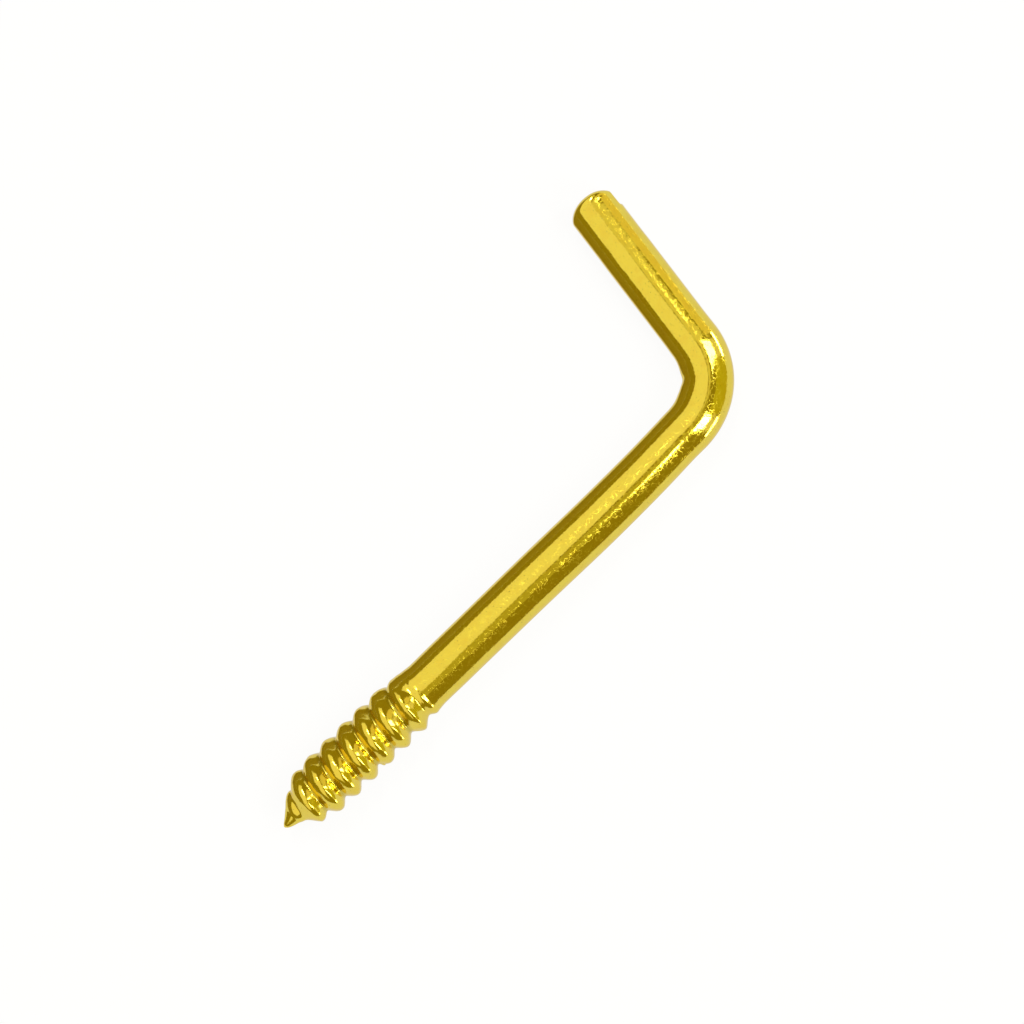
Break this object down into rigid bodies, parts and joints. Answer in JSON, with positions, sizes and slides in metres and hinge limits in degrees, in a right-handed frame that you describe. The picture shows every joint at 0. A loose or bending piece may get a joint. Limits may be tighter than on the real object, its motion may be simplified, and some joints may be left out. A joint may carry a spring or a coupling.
{
  "type": "square screw hook",
  "caption": "Bent wire hook: a wood-screw thread with a tapered point, a plain round shank, and a short arm turned to nearly a right angle. Screws into wood to hang things on.",
  "frame": {"origin": "on the shank's axis, where the thread fades into the plain shank, which is where the wood's face comes when the thread is fully in", "axes": "+X along the shank from the point to the bend, +Y on the side that the arm is bent to, +Z out of the plane of the hook, which is up when the hook lies flat"},
  "size_m": [0.0525, 0.021, 0.0048],
  "materials": {
    "brass_plate": "bright electro-plated brass over drawn steel wire, shiny with fine drawing lines and small pits"
  },
  "bodies": {
    "root": {"hook": "brass_plate"}
  },
  "joints": []
}
